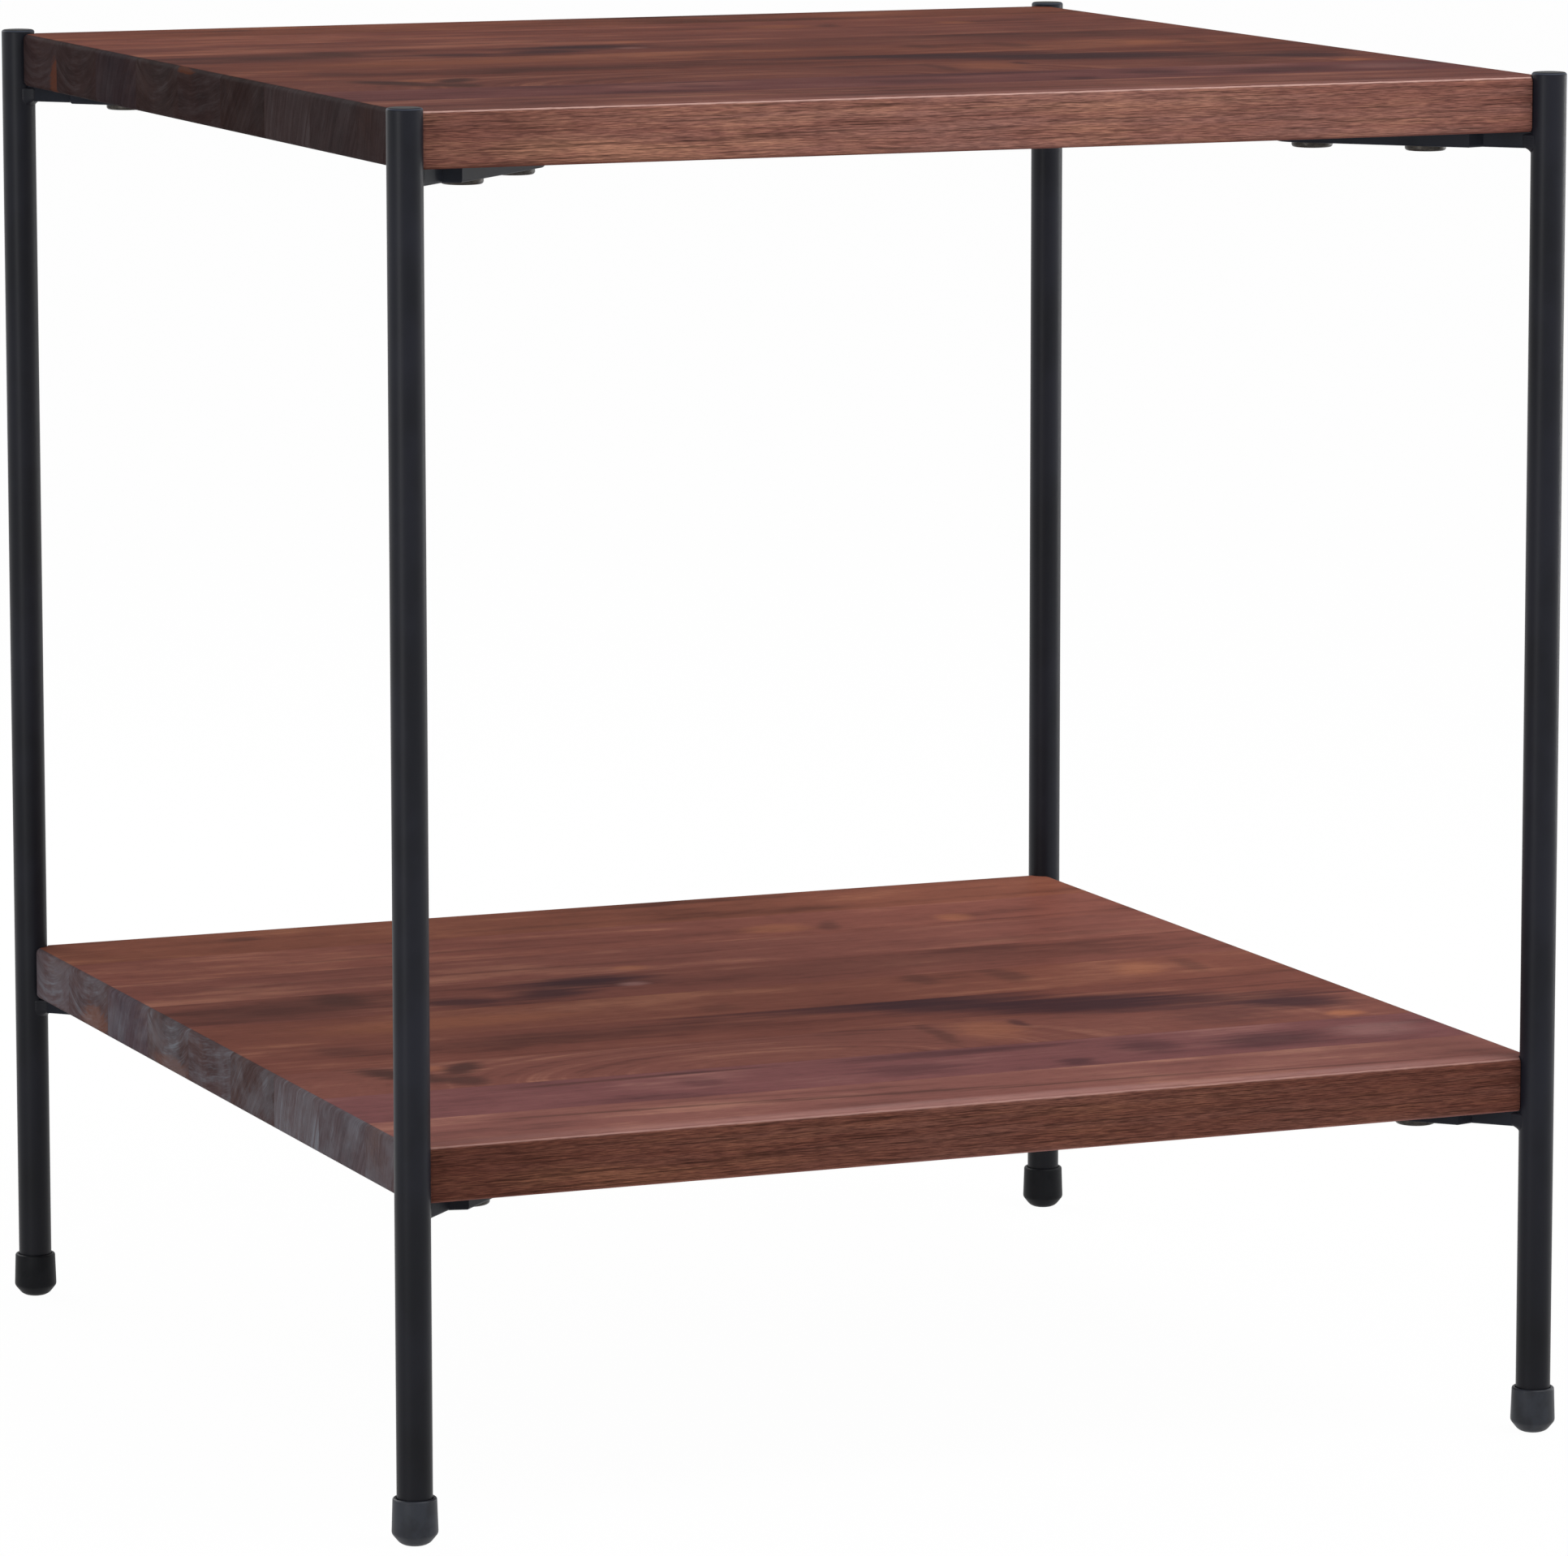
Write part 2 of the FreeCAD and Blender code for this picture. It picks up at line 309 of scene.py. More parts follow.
# shift is how much lighter a stave is, grain how strong its rings are, reach how far a figure of rings goes
# rings is the pith's place across and above the stave, centre its place along the board
# lean is how fast the rings draw in along it; endPith is the pith's place on the end grain
# a mark is (x, y, half length, half width, turn in degrees, stain, strength) with x and y on the board
# all of these lengths are in mm
staveLooks = [
    {"shift": 0.10, "tint": colour(239, 236, 244), "grain": 0.26,
     "rings": (50, -60), "centre": 50, "lean": 0.05,
     "end": colour(80, 74, 78), "endPith": (-130, -40), "endPale": 1.0,
     "marks": [(-109, -184, 75, 2.0, -3, "umber", 0.65), (-25, -191, 62, 1.9, -3, "umber", 0.65),
               (62, -198, 70, 1.8, -2, "umber", 0.6), (140, -205, 50, 1.6, -2, "umber", 0.5),
               # in stave 1's marks, the long rose mark along the front edge is a painted sheen, and the
               # umber mark at the left end of the front edge is painted shade
               (-60, -178, 60, 1.6, -2, "umber", 0.35), (20, -214, 240, 6, 0, "rose", 0.4),
               (-205, -217, 70, 12, 0, "umber", 0.28)]},
    {"shift": 0.0, "tint": colour(220, 215, 239), "grain": 0.24,
     "rings": (-30, -80), "centre": 20, "lean": 0.06,
     "end": colour(86, 80, 84), "endPith": (-110, -70), "endPale": 1.0,
     "marks": [(-103, -128.5, 62, 2.0, 1.5, "umber", 0.65), (-80, -127, 12, 3, 0, "plum", 0.5),
               (-81, -145, 9, 14, 0, "plum", 0.3), (19, -128, 45, 7, 0, "plum", 0.5),
               (0, -153, 24, 12, 0, "plum", 0.4), (61, -161, 8, 7, 0, "plum", 0.6),
               (97, -145, 14, 16, 0, "plum", 0.5), (144, -149, 28, 18, 0, "plum", 0.65),
               (190, -146, 20, 14, 0, "rose", 0.25)]},
    {"shift": 0.07, "tint": colour(228, 218, 219), "grain": 0.60, "reach": 52,
     "rings": (-24, -4), "centre": -42, "lean": 0.40,
     "end": colour(92, 85, 90), "endPith": (-120, -50), "endPale": 1.5,
     "marks": [(-176, -90, 24, 10, -56, "umber", 1.0), (-150, -86, 17, 7, 56, "umber", 0.95),
               (-163, -82, 8, 6, 0, "amber", 0.4), (-158, -109, 8, 11, 0, "umber", 0.8),
               (55, -92, 16, 22, 0, "amber", 0.35), (71, -84, 3.5, 9, 0, "plum", 0.6),
               (35, -94, 4.5, 22, 0, "umber", 0.5), (128, -74, 52, 7, -4, "plum", 0.6),
               (184, -82, 30, 17, -24, "plum", 0.85), (195, -112, 8, 7, 0, "amber", 0.65),
               (150, -97, 26, 20, 0, "plum", 0.35)]},
    {"shift": -0.04, "tint": colour(223, 208, 205), "grain": 0.26,
     "rings": (60, -50), "centre": -20, "lean": 0.07,
     "end": colour(68, 60, 62), "endPith": (-70, -90), "endPale": 0.8,
     "marks": [(34, -31, 76, 11, -2, "plum", 0.7), (58, -40, 34, 18, -6, "plum", 0.8),
               (112, -58, 56, 21, -6, "plum", 0.9), (160, -66, 34, 14, -12, "plum", 0.6),
               (196, -70, 26, 12, -20, "plum", 0.6), (-181, -38, 12, 10, 0, "umber", 0.4),
               (-94, -42, 95, 11, 0, "umber", 0.25)]},
    {"shift": 0.14, "tint": colour(230, 215, 208), "grain": 0.26,
     "rings": (12, 90), "centre": 60, "lean": 0.08,
     "end": colour(74, 66, 70), "endPith": (20, 190), "endPale": 1.1,
     "marks": [(73, 15, 7, 13, 0, "umber", 0.5), (108, 9, 8, 17, 8, "umber", 0.55),
               (161, 3, 12, 16, -30, "amber", 0.4), (184, 3, 6, 18, 0, "umber", 0.4),
               (-125, 0, 60, 14, 0, "amber", 0.3), (-19, -12, 10, 8, 0, "umber", 0.3)]},
    {"shift": -0.10, "tint": colour(231, 217, 216), "grain": 0.26,
     "rings": (4, 34), "centre": -60, "lean": 0.10,
     "end": colour(78, 68, 70), "endPith": (0, 28), "endPale": 1.2,
     "marks": [(-48, 59, 38, 16, 0, "plum", 0.95), (-68, 42, 20, 12, 0, "plum", 0.8),
               (-31, 49, 7, 5, 0, "rose", 0.4), (-145, 59, 12, 16, 0, "umber", 0.75),
               (-170, 50, 56, 24, 0, "umber", 0.5), (-108, 38, 25, 11, -12, "plum", 0.75),
               (94, 50, 125, 21, 0, "umber", 0.25)]},
    {"shift": 0.06, "tint": colour(240, 227, 227), "grain": 0.26,
     "rings": (-30, -70), "centre": 100, "lean": 0.05,
     "end": colour(70, 68, 78), "endPith": (-60, -40), "endPale": 0.5,
     "marks": [(-19, 81, 9, 6, 0, "amber", 0.45), (-62, 94, 90, 2.4, -1, "umber", 0.35),
               (156, 84, 60, 6, 0, "umber", 0.3), (-150, 100, 60, 3, 1, "umber", 0.25)]},
    {"shift": 0.02, "tint": colour(246, 230, 227), "grain": 0.24,
     "rings": (6, 36), "centre": -100, "lean": 0.05,
     "end": colour(78, 70, 74), "endPith": (0, 30), "endPale": 1.2,
     "marks": [(67, 141, 15, 10, 0, "amber", 0.4), (89, 139, 5, 12, -12, "umber", 0.5),
               (142, 137, 8, 9, 0, "amber", 0.4), (-88, 141, 60, 2.6, 1, "umber", 0.35)]},
    {"shift": 0.06, "tint": colour(245, 229, 213), "grain": 0.24,
     "rings": (-8, 40), "centre": 0, "lean": 0.05,
     "end": colour(84, 76, 82), "endPith": (0, 30), "endPale": 1.0,
     "marks": [(-136, 200, 9, 4, 0, "umber", 0.55), (-19, 180, 40, 2.8, 0, "umber", 0.3)]},
]


def swayed(tree, place, sway, amount):
    return vectorMath(tree, "ADD", place, vectorMath(tree, "MULTIPLY", sway, amount))


def growthBands(tree, place, look, number):
    # growth rings round a pith line that leans along the stave
    pithY, pithZ = look["rings"]
    pith = (look["centre"] * mm, pithY * mm, pithZ * mm)
    radius = distance(tree, place, pith, (look["lean"], 1, 1))
    along = separated(tree, place)[0]
    ringPlace = addNode(tree, "CombineXYZ", {
        0: multiply(tree, radius, boardLook["bandsPerMetre"]),
        1: multiply(tree, along, boardLook["bandsAlong"]),
        2: number * boardLook["bandStep"],
    })
    bands = plainNoise(tree, ringPlace.outputs[0], *boardLook["bandDetail"])
    if "reach" in look:
        stretch = [look["reach"] * share * mm for share in boardLook["reachFade"]]
        inside = fade(tree, radius, stretch, boardLook["reachOutside"])
        pithShare = fade(tree, radius, boardLook["pithFade"], boardLook["pithInside"])
        inside = multiply(tree, inside, pithShare)
        bands = add(tree, multiply(tree, centred(tree, bands), inside), 0.5)
    return bands


def woodTone(tree, look, spread, bands, patches, streaks, fibres):
    # the stave's base colour from its rings, patches, streaks and fibres
    halfGrain = look["grain"] / 2
    patchShare = boardLook["patchShare"]
    tone = add(tree, multiply(tree, bands, look["grain"]), multiply(tree, patches, patchShare - halfGrain))
    tone = add(tree, tone, multiply(tree, streaks, boardLook["streakShare"]))
    tone = add(tree, tone, multiply(tree, fibres, boardLook["fibreShare"]))
    total = patchShare + halfGrain + boardLook["streakShare"] + boardLook["fibreShare"]
    middle = total / 2 - look["shift"] * boardLook["shiftShare"]
    tone = fade(tree, tone, (middle - spread, middle + spread))
    darkTone = fade(tree, tone, boardFades["darkTone"])
    lightTone = fade(tree, tone, boardFades["lightTone"])
    base = mixColour(tree, darkTone, boardLook["dark"], boardLook["middle"])
    base = mixColour(tree, lightTone, base, boardLook["light"])
    return tinted(tree, base, look["tint"])


def addMark(tree, base, place, fray, mark, centreY):
    # a soft-edged mark, mostly a stain, while two marks on stave 1's front edge are a painted sheen and a
    # painted shade: an ellipse on the board, frayed along the grain
    x, y, length, width, turn, markTone, strength = mark
    moved = addNode(tree, "Mapping", {"Vector": place, "Location": (-x * mm, centreY - y * mm, 0)})
    turned = addNode(tree, "Mapping", {
        "Vector": moved.outputs[0],
        "Rotation": (0, 0, -math.radians(turn)),
        "Scale": (1, 1, 0),
    })
    scaled = vectorMath(tree, "DIVIDE", turned.outputs[0], (length * mm, width * mm, 1))
    reach = addNode(tree, "VectorMath", {0: scaled}, operation="LENGTH").outputs["Value"]
    reach = add(tree, reach, fray)
    share = fade(tree, reach, boardFades["mark"], 0.0, strength)
    return mixColour(tree, share, base, stainsAndPaintedLight[markTone])


def addFlecks(tree, base, own, flecks, longEdge):
    # short pale and dark flecks and dark dashes, strongest on the long edges
    fleckLevel = fade(tree, flecks, boardFades["flecks"])
    fleckTone = mixColour(tree, fleckLevel, boardLook["fleckDark"], boardLook["fleckLight"])
    fleckShare = add(tree, multiply(tree, longEdge, boardLook["fleckEdge"]), boardLook["fleckFace"])
    base = mixColour(tree, fleckShare, base, fleckTone, "MULTIPLY")
    dashes = noise(tree, own, boardNoise["dashes"])
    dashLevel = fade(tree, dashes, boardFades["dashes"], 0.0, boardLook["dashStrength"])
    return mixColour(tree, multiply(tree, dashLevel, longEdge), base, boardLook["pore"])


def endRings(tree, place, local, look, number):
    # the end grain's fine lines and wider arcs, both round its own pith
    endY, endZ = look["endPith"]
    radius = distance(tree, place, (0, endY * mm, endZ * mm), (0, 1, 1))
    depths = separated(tree, local)
    linePlace = addNode(tree, "CombineXYZ", {
        0: multiply(tree, radius, boardLook["endLinesPerMetre"]),
        1: multiply(tree, depths[1], boardLook["endLineBreaks"]),
        2: multiply(tree, depths[2], boardLook["endLineBreaks"]),
    })
    arcPlace = addNode(tree, "CombineXYZ", {
        0: multiply(tree, radius, boardLook["endArcsPerMetre"]),
        1: multiply(tree, depths[1], boardLook["endArcBreaks"]),
        2: number * boardLook["endArcStep"],
    })
    lines = plainNoise(tree, linePlace.outputs[0], *boardLook["endLineDetail"])
    arcs = plainNoise(tree, arcPlace.outputs[0], *boardLook["endArcDetail"])
    return lines, arcs


def endGrain(tree, base, lines, arcs, own, ownPlace, look, tierLook):
    # thirsty end grain: dark, with pale lines, arcs and patches
    darkLine, lightLine = boardLook["endLineTones"]
    darkArc, lightArc = boardLook["endArcTones"]
    lineTone = mixColour(tree, lines, grey(darkLine), grey(lightLine))
    arcTone = mixColour(tree, fade(tree, arcs, boardFades["endArcTone"]), grey(darkArc), grey(lightArc))
    soaked = tinted(tree, look["end"], lineTone)
    soaked = tinted(tree, soaked, arcTone)
    soaked = mixColour(tree, boardLook["endFaceShare"], soaked, base)
    cloud = noise(tree, own, boardNoise["endCloud"])
    leastPale = tierLook["pale"] * boardLook["endPaleLeast"]
    mostPale = tierLook["pale"] * look["endPale"]
    lineCloud = fade(tree, cloud, boardFades["endLineCloud"], leastPale, mostPale)
    pale = multiply(tree, fade(tree, lines, boardFades["endLines"]), lineCloud)
    blotch = noise(tree, ownPlace, boardNoise["blotch"])
    pale = add(tree, pale, fade(tree, blotch, boardFades["blotch"], 0.0, tierLook["blotch"]))
    arcCloud = fade(tree, cloud, boardFades["endArcCloud"], 0.0, tierLook["arcs"] * look["endPale"])
    pale = add(tree, pale, multiply(tree, fade(tree, arcs, boardFades["endArcs"]), arcCloud))
    return mixColour(tree, pale, soaked, boardLook["endPale"])


def addEndMark(tree, soaked, place, lines, mark, centreY):
    # a soft-edged stain on the end grain, frayed by its fine lines
    y, z, halfY, halfZ, markTone, strength = mark
    scale = (0, 1 / (halfY * mm), 1 / (halfZ * mm))
    spot = distance(tree, place, (0, y * mm - centreY, z * mm), scale)
    spot = add(tree, spot, centred(tree, lines))
    share = fade(tree, spot, boardFades["endMark"], 0.0, strength)
    return mixColour(tree, share, soaked, stainsAndPaintedLight[markTone])


def staveMaterial(tier, number):
    look = staveLooks[number - 1]
    tierLook = tierLooks[tier]
    low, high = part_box(tier + "_stave_" + str(number))
    centreY = (low.y + high.y) / 2
    made, tree, shader = newMaterial("walnut_" + tier + "_" + str(number))

    # places on the stave: still, wandering with the grain, and both with the stave's own noise
    local = objectPlace(tree, (0, -centreY, -high.z))
    sway = vectorMath(tree, "SUBTRACT", noise(tree, local, boardNoise["sway"], "Color"), (0.5, 0.5, 0.5))
    place = swayed(tree, local, sway, boardLook["grainSway"])
    calm = swayed(tree, local, sway, boardLook["markSway"])
    offset = [number * step for step in boardLook["noiseStep"]]
    own = vectorMath(tree, "ADD", local, offset)
    ownPlace = vectorMath(tree, "ADD", place, offset)
    normal = objectNormal(tree)

    # grain and the larger marks: stains, and on stave 1's front edge a painted sheen and a painted shade
    bands = growthBands(tree, place, look, number)
    patches = noise(tree, own, boardNoise["patches"])
    streaks = noise(tree, ownPlace, boardNoise["streaks"])
    fibres = noise(tree, own, boardNoise["fibres"])
    base = woodTone(tree, look, tierLook["spread"], bands, patches, streaks, fibres)
    streakFray = multiply(tree, centred(tree, streaks), boardLook["frayShare"])
    patchFray = multiply(tree, centred(tree, patches), boardLook["frayShare"])
    fray = add(tree, streakFray, patchFray)
    for mark in look["marks"]:
        base = addMark(tree, base, calm, fray, mark, centreY)

    # fine dark pores, long along the grain and round dots on the end grain
    pores = noise(tree, own, boardNoise["pores"])
    poreShare = fade(tree, pores, boardFades["pores"], 0.0, boardLook["poreStrength"])
    base = mixColour(tree, poreShare, base, boardLook["pore"])

    # the long edges take the stain differently from the upper face; the tier tints on both also hold
    # painted light and shade
    longEdge = fade(tree, magnitude(tree, normal[1]), boardFades["longEdge"])
    flecks = noise(tree, own, boardNoise["flecks"])
    base = addFlecks(tree, base, own, flecks, longEdge)
    base = tinted(tree, base, mixColour(tree, longEdge, tierLook["face"], tierLook["front"]))

    # end grain
    lines, arcs = endRings(tree, place, local, look, number)
    soaked = endGrain(tree, base, lines, arcs, own, ownPlace, look, tierLook)
    if number in tierLook["endMarks"]:
        soaked = addEndMark(tree, soaked, place, lines, tierLook["endMarks"][number], centreY)
    # the tier's end tint is partly painted shade on the top's end grain and a painted bluish sheen on the
    # shelf's
    soaked = tinted(tree, soaked, tierLook["end"])
    endFace = fade(tree, magnitude(tree, normal[0]), boardFades["endFace"])
    base = mixColour(tree, endFace, base, soaked)

    # a hair-thin glue line at each joint; on the outer staves the rounded long edges get a pale painted
    # highlight, partly rubbed wear
    if 1 < number < len(staveLooks):
        across = magnitude(tree, separated(tree, local)[1])
        halfStave = (high.y - low.y) / 2
        stretch = (halfStave - boardLook["jointWidth"], halfStave)
        joint = fade(tree, across, stretch, 0.0, boardLook["jointStrength"])
        base = mixColour(tree, joint, base, boardLook["pore"])
    else:
        upward = multiply(tree, normal[2], magnitude(tree, normal[2]))
        turning = multiply(tree, magnitude(tree, normal[1]), upward)
        turning = add(tree, turning, multiply(tree, centred(tree, flecks), boardLook["highlightAndWearFray"]))
        highlightAndWearShare = fade(tree, turning, boardFades["highlightAndWear"], 0.0, tierLook["highlightAndWear"])
        base = mixColour(tree, highlightAndWearShare, base, boardLook["highlightAndWearColour"])

    tree.links.new(base, shader.inputs["Base Color"])
    addRoughness(tree, shader, boardLook["roughness"], fibres, boardLook["roughnessChange"])
    shader.inputs["Specular IOR Level"].default_value = boardLook["specular"]
    addBump(tree, shader, pores, boardLook["bump"])
    return made


for tier in tiers:
    for number in range(1, len(staveLooks) + 1):
        setMaterial(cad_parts[tier + "_stave_" + str(number)], staveMaterial(tier, number))
print("boards dressed")


# black powder-coated steel: legs, caps, bracket arms and weld beads

cloudFade = (0.35, 0.65)
steelLook = {
    "legs": {"dark": colour(19, 20, 26), "light": colour(27, 28, 36), "specular": 0.15},
    "arms": {"dark": colour(27, 29, 35), "light": colour(37, 40, 47), "specular": 0.06},
    "cloud": ((40, 40, 25), 3.0, 0.5),
    "peel": ((1400, 1400, 1400), 2.0, 0.5),
    "roughness": 0.40,
    "roughnessChange": (0.03, 0.08),
    "bump": (0.06, 0.1 * mm),
    # painted shade: the steel darkens to this share at the floor, from this height down
    "low": 0.45,
    "shadeHeight": 0.16,
}
capLook = {
    # the flat top is painted darker than the legs, as painted shade
    "top": colour(12, 12, 14),
    "topSpecular": 0.012,
    "topFade": (0.1, 0.6),
    "topSpecularFade": (0.0, 0.5),
    # the rim's painted highlight, a pale band, lies between these turns of the surface
    "rim": colour(66, 70, 80),
    "rimRising": (0.20, 0.60),
    "rimFalling": (0.92, 0.70),
}


def clouded(tree, cloud, look):
    return mixColour(tree, fade(tree, cloud, cloudFade), look["dark"], look["light"])


def steelMaterial(name, kind):
    look = steelLook[kind]
    made, tree, shader = newMaterial(name)
    place = objectPlace(tree)
    cloud = noise(tree, place, steelLook["cloud"])
    height = separated(tree, place)[2]
    # painted shade towards the floor
    floorShade = fade(tree, height, (0.0, steelLook["shadeHeight"]), steelLook["low"])
    base = tinted(tree, clouded(tree, cloud, look), floorShade)
    tree.links.new(base, shader.inputs["Base Color"])
    addRoughness(tree, shader, steelLook["roughness"], cloud, steelLook["roughnessChange"])
    shader.inputs["Specular IOR Level"].default_value = look["specular"]
    addBump(tree, shader, noise(tree, place, steelLook["peel"]), steelLook["bump"])
    return made


def capMaterial():
    # flat top painted darker and duller than the legs, as painted shade; round rim with a pale painted
    # highlight
    look = steelLook["legs"]
    made, tree, shader = newMaterial("black_powder_coat_caps")
    place = objectPlace(tree)
    side = clouded(tree, noise(tree, place, steelLook["cloud"]), look)
    upward = objectNormal(tree)[2]
    base = mixColour(tree, fade(tree, upward, capLook["topFade"]), side, capLook["top"])
    highlightRising = fade(tree, upward, capLook["rimRising"])
    highlightFalling = fade(tree, upward, capLook["rimFalling"])
    base = mixColour(tree, multiply(tree, highlightRising, highlightFalling), base, capLook["rim"])
    tree.links.new(base, shader.inputs["Base Color"])
    shader.inputs["Roughness"].default_value = steelLook["roughness"]
    glossy = fade(tree, upward, capLook["topSpecularFade"], look["specular"], capLook["topSpecular"])
    tree.links.new(glossy, shader.inputs["Specular IOR Level"])
    addBump(tree, shader, noise(tree, place, steelLook["peel"]), steelLook["bump"])
    return made


# dark plated bolts and yellow zinc inserts

boltLook = {
    "dark": colour(37, 34, 31),
    "light": colour(60, 55, 49),
    "cloud": ((700, 700, 1200), 3.0, 0.6),
    "metallic": 0.55,
    "roughness": 0.38,
    "roughnessChange": (0.06, 0.12),
    "bump": (0.05, 0.1 * mm),
}
insertLook = {
    "dark": colour(150, 132, 88),
    "light": colour(206, 192, 148),
    "cloud": ((300, 300, 300), 3.0, 0.6),
    "metallic": 1.0,
    "roughness": 0.32,
    "roughnessChange": (0.05, 0.1),
}


def platedMaterial(name, look):
    made, tree, shader = newMaterial(name)
    cloud = noise(tree, objectPlace(tree), look["cloud"])
    tree.links.new(clouded(tree, cloud, look), shader.inputs["Base Color"])
    shader.inputs["Metallic"].default_value = look["metallic"]
    addRoughness(tree, shader, look["roughness"], cloud, look["roughnessChange"])
    if "bump" in look:
        addBump(tree, shader, cloud, look["bump"])
    return made


# smooth black rubber; the rear feet get a darker, less glossy copy, which is painted shade

rubberLook = {
    "front": {"dark": colour(29, 31, 37), "light": colour(40, 43, 50), "specular": 0.22},
    # the rear copy is painted shade
    "rear": {"dark": colour(14, 15, 18), "light": colour(20, 21, 24), "specular": 0.09},
    "cloud": ((160, 160, 120), 3.0, 0.5),
    "grains": ((2600, 2600, 2600), 2.0, 0.5),
    "roughness": 0.46,
    "roughnessChange": (0.04, 0.08),
    "bump": (0.05, 0.1 * mm),
}


def rubberMaterial(side):
    look = rubberLook[side]
    made, tree, shader = newMaterial("black_rubber_" + side)
    place = objectPlace(tree)
    cloud = noise(tree, place, rubberLook["cloud"])
    tree.links.new(clouded(tree, cloud, look), shader.inputs["Base Color"])
    addRoughness(tree, shader, rubberLook["roughness"], cloud, rubberLook["roughnessChange"])
    shader.inputs["Specular IOR Level"].default_value = look["specular"]
    addBump(tree, shader, noise(tree, place, rubberLook["grains"]), rubberLook["bump"])
    return made


steel = steelMaterial("black_powder_coat", "legs")
flatSteel = steelMaterial("black_powder_coat_arms", "arms")
capSteel = capMaterial()
bolts = platedMaterial("dark_bolt_plating", boltLook)
inserts = platedMaterial("yellow_zinc", insertLook)
for tier in tiers:
    setMaterial(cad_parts[tier + "_bolts"], bolts)
    setMaterial(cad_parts[tier + "_inserts"], inserts)
    for corner in corners:
        setMaterial(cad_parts[corner + "_" + tier + "_bracket"], flatSteel)
for corner in corners:
    for part in ("_leg", "_welds"):
        setMaterial(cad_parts[corner + part], steel)
    setMaterial(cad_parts[corner + "_leg_cap"], capSteel)
print("steel, bolts and inserts dressed")


# rubber feet, turned about each leg's axis with a rolled lip round the leg

footLook = {
    "lipGap": 0.12 * mm,
    "grooveDepth": 1.4 * mm,
    "baseInset": 3.4 * mm,
    "bevelHeight": 4.2 * mm,
    "waistIn": 0.42 * mm,
    # size and segments of each rounding
    "baseRound": (2.0 * mm, 6),
    "bevelRound": (0.7 * mm, 3),
    "lipRound": (0.75 * mm, 6),
    "boreRound": (0.5 * mm, 4),
    "steps": 96,
    "merge": 0.001 * mm,
    "nearRing": 0.02 * mm,
}
rubber = {side: rubberMaterial(side) for side in ("front", "rear")}


def finishPiece(mesh, name, material):
    made = bpy.data.meshes.new(name)
    mesh.to_mesh(made)
    mesh.free()
    piece = bpy.data.objects.new(name, made)
    bpy.context.scene.collection.objects.link(piece)
    made.materials.append(material)
    for face in made.polygons:
        face.use_smooth = True
    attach(piece, "root")
    return piece


def legAxis(corner):
    low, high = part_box(corner + "_leg")
    return (low + high) / 2, (high.x - low.x) / 2


def ringEdges(mesh, radius, height):
    # the edges of one turned ring
    near = footLook["nearRing"]

    def onRing(vert):
        return abs(math.hypot(vert.co.x, vert.co.y) - radius) < near and abs(vert.co.z - height) < near

    return [e for e in mesh.edges if onRing(e.verts[0]) and onRing(e.verts[1])]


def rubberFoot(corner):
    low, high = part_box(corner + "_foot")
    centre, legRadius = legAxis(corner)
    outer = (high.x - low.x) / 2
    base = outer - footLook["baseInset"]
    rim = outer - footLook["waistIn"]
    bore = legRadius + footLook["lipGap"]
    top = high.z
    bevelTop = footLook["bevelHeight"]
    groove = top - footLook["grooveDepth"]
    outline = [(0, 0), (base, 0), (outer, bevelTop), (rim, top), (bore, top), (bore, groove)]
    mesh = bmesh.new()
    verts = [mesh.verts.new((r, 0, z)) for r, z in outline]
    edges = [mesh.edges.new(pair) for pair in zip(verts, verts[1:])]
    bmesh.ops.spin(mesh, geom=verts + edges, cent=(0, 0, 0), axis=(0, 0, 1), dvec=(0, 0, 0),
                   angle=2 * math.pi, steps=footLook["steps"], use_merge=True, use_duplicate=False)
    bmesh.ops.remove_doubles(mesh, verts=mesh.verts, dist=footLook["merge"])
    rounds = [(base, 0, "baseRound"), (outer, bevelTop, "bevelRound"), (rim, top, "lipRound"),
              (bore, top, "boreRound")]
    for radius, height, rounding in rounds:
        size, segments = footLook[rounding]
        bmesh.ops.bevel(mesh, geom=ringEdges(mesh, radius, height), offset=size, offset_type="OFFSET",
                        affect="EDGES", segments=segments, profile=0.5, material=-1)
    bmesh.ops.translate(mesh, verts=mesh.verts, vec=(centre.x, centre.y, 0))
    bmesh.ops.recalc_face_normals(mesh, faces=mesh.faces)
    foot = finishPiece(mesh, corner + "_rubber_foot", rubber[corner.split("_")[0]])
    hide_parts(corner + "_foot")


for corner in corners:
    rubberFoot(corner)
print("feet made")


# weld beads: each runs down one side of an arm's neck, under it and up the other side

weldLook = {
    "neckHalf": 3.2 * mm,
    "sideReach": 3.2 * mm,
    "sideSpread": 1.7 * mm,
    "sideLean": 1.3 * mm,
    "underReach": 1.7 * mm,
    "underSpread": 1.6 * mm,
    "corner": 1.0 * mm,
    "topGap": 0.5 * mm,
    "taper": 0.9 * mm,
    "endShare": 0.1,
    "ripplePitch": 0.95 * mm,
    "ripple": 0.014,
    "step": 0.19 * mm,
    # the cross-section: how hollow it is, its steps, and how far its roots lie in the steel
    "hollow": 0.36,
    "arcSteps": 6,
    "rootIn": 0.6,
    "rootUnder": 0.35,
}


def weldProfile():
    # a fillet's cross-section for a reach and spread of 1, with its roots inside the steel
    hollow = weldLook["hollow"]
    arc = []
    for k in range(weldLook["arcSteps"] + 1):
        t = k / weldLook["arcSteps"]
        arc.append(((1 - t) ** 2 + 2 * t * (1 - t) * hollow, t ** 2 + 2 * t * (1 - t) * hollow))
    rootIn, rootUnder = -weldLook["rootIn"], -weldLook["rootUnder"]
    return [(rootIn, rootUnder), (1.0, rootUnder)] + arc + [(rootIn, 1.0)]


